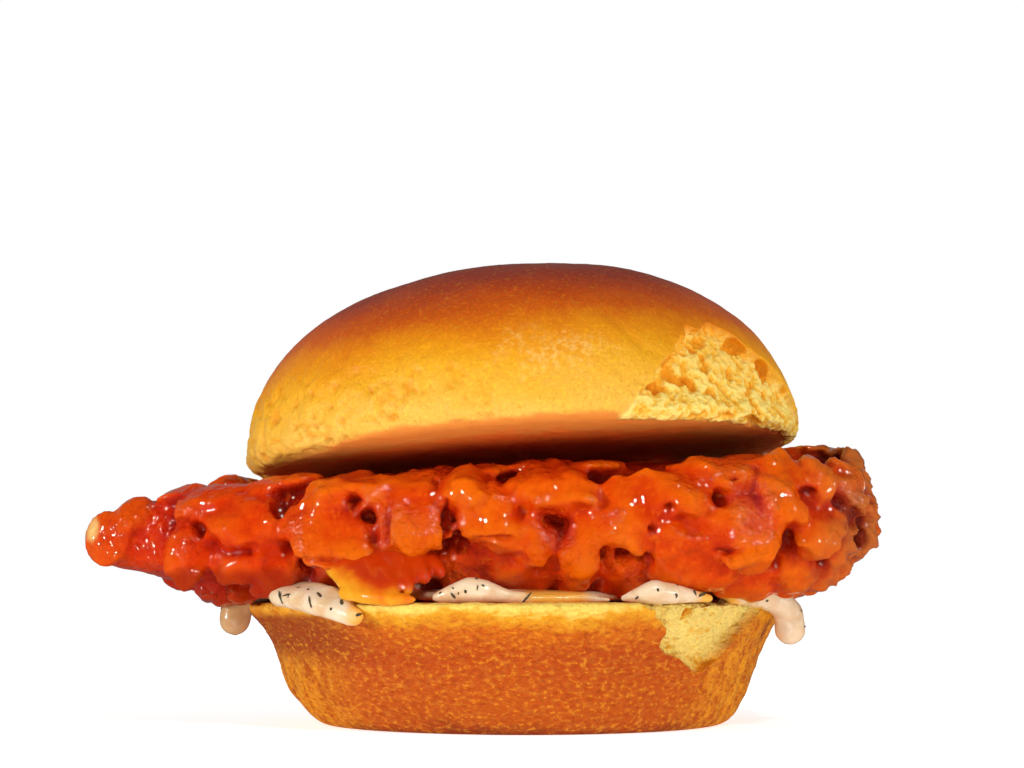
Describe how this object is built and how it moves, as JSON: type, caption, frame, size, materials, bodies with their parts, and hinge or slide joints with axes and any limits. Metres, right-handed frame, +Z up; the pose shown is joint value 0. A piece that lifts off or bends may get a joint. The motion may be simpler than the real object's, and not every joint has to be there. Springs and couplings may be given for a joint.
{
  "type": "chicken burger",
  "caption": "Chicken burger: a round soft bun around a long craggy hot-glazed chicken strip that sticks out at both sides, on herbed white sauce running over the rim.",
  "frame": {"origin": "middle of the heel's flat underside, where the burger stands on the table", "axes": "+Z up, -Y towards the front that the picture shows, +X to the right in the picture, along the chicken strip"},
  "size_m": [0.1178, 0.0824, 0.0685],
  "materials": {
    "bun_crust": "satin baked crust, dark brown on top, golden below, pale crumb where torn",
    "glazed_chicken": "crisp batter with a glossy orange-red hot sauce glaze",
    "white_sauce": "glossy cream sauce with dark herb flecks"
  },
  "bodies": {
    "root": {"bun_crown": "bun_crust", "bun_heel": "bun_crust", "white_sauce": "white_sauce", "chicken_strip": "glazed_chicken"}
  },
  "joints": []
}
